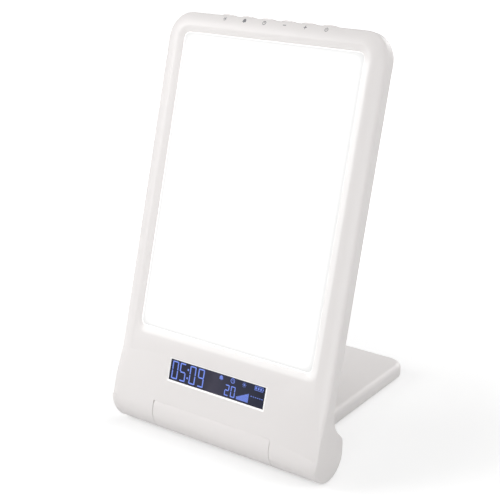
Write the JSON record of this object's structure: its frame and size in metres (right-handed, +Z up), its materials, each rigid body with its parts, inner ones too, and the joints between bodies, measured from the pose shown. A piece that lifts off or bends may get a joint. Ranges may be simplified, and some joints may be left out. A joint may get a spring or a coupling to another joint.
{
  "type": "light therapy lamp",
  "caption": "Tablet-shaped light therapy lamp leaning on a flat fold-out stand, with a lit front, a small display and keys along its top edge.",
  "frame": {"origin": "on the table, under the middle of the lamp's bounding box", "axes": "+Z up, +X to the right of the person who faces the lit front, +Y towards the back"},
  "size_m": [0.16, 0.1776, 0.2589],
  "materials": {
    "shell_plastic": "fine satin moulded white",
    "key_plastic": "satin moulded white",
    "black_plastic": "moulded black",
    "diffuser": "opal acrylic",
    "clear_acrylic": "polished clear acrylic",
    "white_film": "white film and coated board",
    "led_lens": "phosphor in clear resin",
    "display_glass": "dark clear window",
    "circuit_board": "solder mask",
    "ribbon_film": "amber film",
    "lead_sleeve": "soft sleeve",
    "battery_pouch": "foil pouch",
    "rubber": "matt elastomer",
    "contact_brass": "turned and plated",
    "steel": "zinc-plated steel"
  },
  "bodies": {
    "housing": {"front_bezel": "shell_plastic", "rear_cover": "shell_plastic", "diffuser_plate": "diffuser", "light_guide": "clear_acrylic", "reflector_sheet": "white_film", "back_tray": "steel", "led_strip_left": "white_film", "led_strip_right": "white_film", "leds_left": "led_lens", "leds_right": "led_lens", "display_window": "display_glass", "lcd_panel": "display_glass", "lcd_backlight": "white_film", "control_board": "circuit_board", "board_components": "black_plastic", "board_screws": "steel", "power_socket": "black_plastic", "power_pin": "contact_brass", "buzzer": "black_plastic", "battery_pack": "battery_pouch", "battery_pad": "rubber", "key_board": "circuit_board", "key_switches": "black_plastic", "key_ribbon": "ribbon_film", "internal_leads": "lead_sleeve", "tray_screws": "steel", "cover_screws": "steel", "hinge_block_left": "steel", "hinge_block_right": "steel", "hinge_block_screws": "steel", "roll_cap_left": "shell_plastic", "roll_cap_right": "shell_plastic"},
    "stand": {"stand_shell": "shell_plastic", "stand_base": "shell_plastic", "stand_feet": "rubber", "stand_screws": "steel", "hinge_shaft_left": "steel", "hinge_shaft_right": "steel", "friction_washers_left": "steel", "friction_washers_right": "steel", "shaft_nut_left": "steel", "shaft_nut_right": "steel"},
    "mode_button": {"mode_key": "key_plastic", "mode_plunger": "black_plastic"},
    "alarm_button": {"alarm_key": "key_plastic", "alarm_plunger": "black_plastic"},
    "timer_button": {"timer_key": "key_plastic", "timer_plunger": "black_plastic"},
    "minus_button": {"minus_key": "key_plastic", "minus_plunger": "black_plastic"},
    "plus_button": {"plus_key": "key_plastic", "plus_plunger": "black_plastic"},
    "power_button": {"power_key": "key_plastic", "power_plunger": "black_plastic"}
  },
  "joints": [
    {"name": "stand_hinge", "type": "hinge", "parent": "housing", "child": "stand", "pos_m": [0, -0.07365, 0.0158], "axis": [1, 0, 0], "range_deg": [0, 74.5]},
    {"name": "mode_press", "type": "slide", "parent": "housing", "child": "mode_button", "axis": [0, -0.2622, -0.965], "range_m": [0, 0.0005], "stiffness_N_per_m": 900},
    {"name": "alarm_press", "type": "slide", "parent": "housing", "child": "alarm_button", "axis": [0, -0.2622, -0.965], "range_m": [0, 0.0005], "stiffness_N_per_m": 900},
    {"name": "timer_press", "type": "slide", "parent": "housing", "child": "timer_button", "axis": [0, -0.2622, -0.965], "range_m": [0, 0.0005], "stiffness_N_per_m": 900},
    {"name": "minus_press", "type": "slide", "parent": "housing", "child": "minus_button", "axis": [0, -0.2622, -0.965], "range_m": [0, 0.0005], "stiffness_N_per_m": 900},
    {"name": "plus_press", "type": "slide", "parent": "housing", "child": "plus_button", "axis": [0, -0.2622, -0.965], "range_m": [0, 0.0005], "stiffness_N_per_m": 900},
    {"name": "power_press", "type": "slide", "parent": "housing", "child": "power_button", "axis": [0, -0.2622, -0.965], "range_m": [0, 0.0005], "stiffness_N_per_m": 900}
  ]
}
